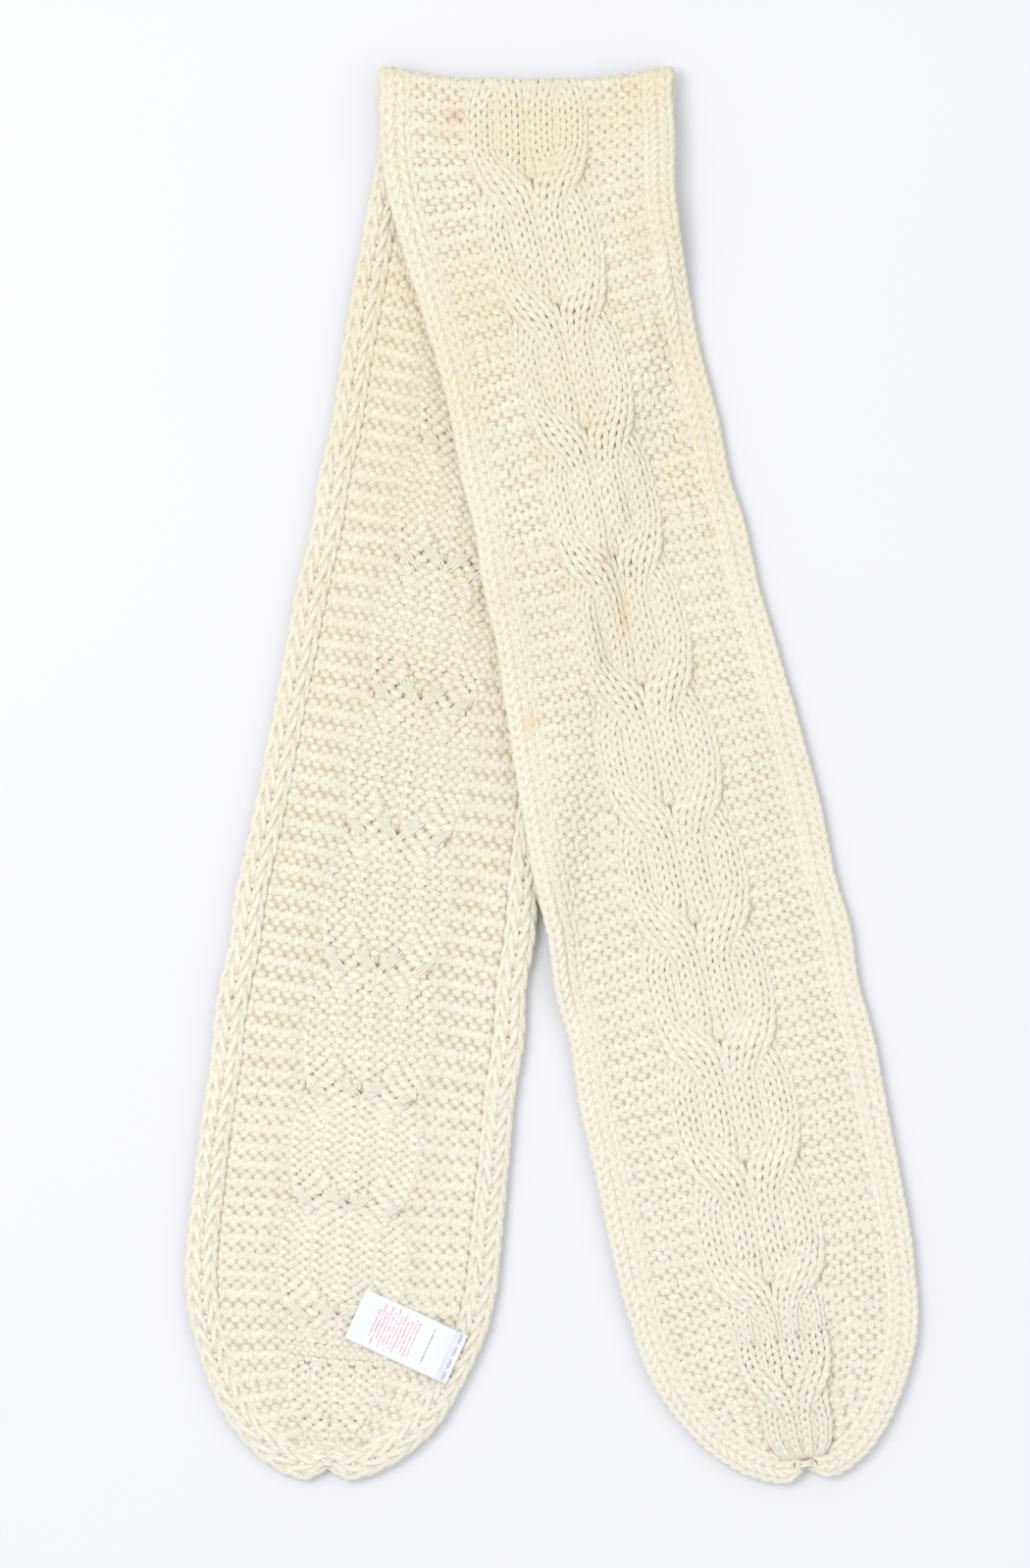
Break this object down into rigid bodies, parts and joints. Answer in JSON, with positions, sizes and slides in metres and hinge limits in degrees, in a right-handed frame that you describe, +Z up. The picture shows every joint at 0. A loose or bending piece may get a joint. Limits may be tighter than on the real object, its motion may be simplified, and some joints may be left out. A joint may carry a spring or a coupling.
{
  "type": "cable-knit scarf",
  "caption": "Long chunky cable-knit wool scarf with rolled edges and rounded ends, folded once across the middle and laid flat, with a folded satin care label sewn near one end.",
  "frame": {"origin": "middle of the folded scarf's whole outline, on the table that it lies on", "axes": "+Z up from the table; the fold is at the +Y end and the two rounded ends are at the -Y end; +X towards the front leaf's end"},
  "size_m": [0.4106, 0.7976, 0.0194],
  "materials": {
    "wool": "matte chunky wool yarn, warm cream, slightly fuzzy",
    "satin_label": "white woven satin ribbon, soft sheen",
    "sewing_thread": "white spun sewing thread"
  },
  "bodies": {
    "rear_upper": {"fold_cable_panel": "wool", "fold_left_cord": "wool", "fold_left_garter": "wool", "fold_right_cord": "wool", "fold_right_garter": "wool", "rear_upper_cable_panel": "wool", "rear_upper_left_cord": "wool", "rear_upper_left_garter": "wool", "rear_upper_right_cord": "wool", "rear_upper_right_garter": "wool"},
    "rear_lower": {"label_hem": "satin_label", "label_stitch_1": "sewing_thread", "label_stitch_2": "sewing_thread", "label_stitch_3": "sewing_thread", "label_stitch_4": "sewing_thread", "rear_lower_cable_panel": "wool", "rear_lower_left_cord": "wool", "rear_lower_left_garter": "wool", "rear_lower_right_cord": "wool", "rear_lower_right_garter": "wool", "rear_tip_seam_yarn": "wool"},
    "front_upper": {"front_upper_cable_panel": "wool", "front_upper_left_cord": "wool", "front_upper_left_garter": "wool", "front_upper_right_cord": "wool", "front_upper_right_garter": "wool"},
    "front_lower": {"front_lower_cable_panel": "wool", "front_lower_left_cord": "wool", "front_lower_left_garter": "wool", "front_lower_right_cord": "wool", "front_lower_right_garter": "wool", "front_tip_seam_yarn": "wool"},
    "label_flap": {"label_flap": "satin_label"}
  },
  "joints": [
    {"name": "fold_open", "type": "hinge", "parent": "rear_upper", "child": "front_upper", "pos_m": [-0.0147, 0.397, 0.0097], "axis": [-1, 0, 0], "range_deg": [0, 180], "deforming": ["fold_cable_panel", "fold_left_cord", "fold_left_garter", "fold_right_cord", "fold_right_garter"]},
    {"name": "rear_end_lift", "type": "hinge", "parent": "rear_upper", "child": "rear_lower", "pos_m": [-0.09799, -0.10881, 0.0097], "axis": [-0.9899, 0.1415, 0], "range_deg": [0, 90]},
    {"name": "front_end_lift", "type": "hinge", "parent": "front_upper", "child": "front_lower", "pos_m": [0.08562, -0.11051, 0.0109], "axis": [-0.978, -0.2086, 0], "range_deg": [0, 90]},
    {"name": "label_lift", "type": "hinge", "parent": "rear_lower", "child": "label_flap", "pos_m": [-0.05896, -0.32515, 0.0108], "axis": [0.4147, 0.91, 0], "range_deg": [0, 120]}
  ]
}
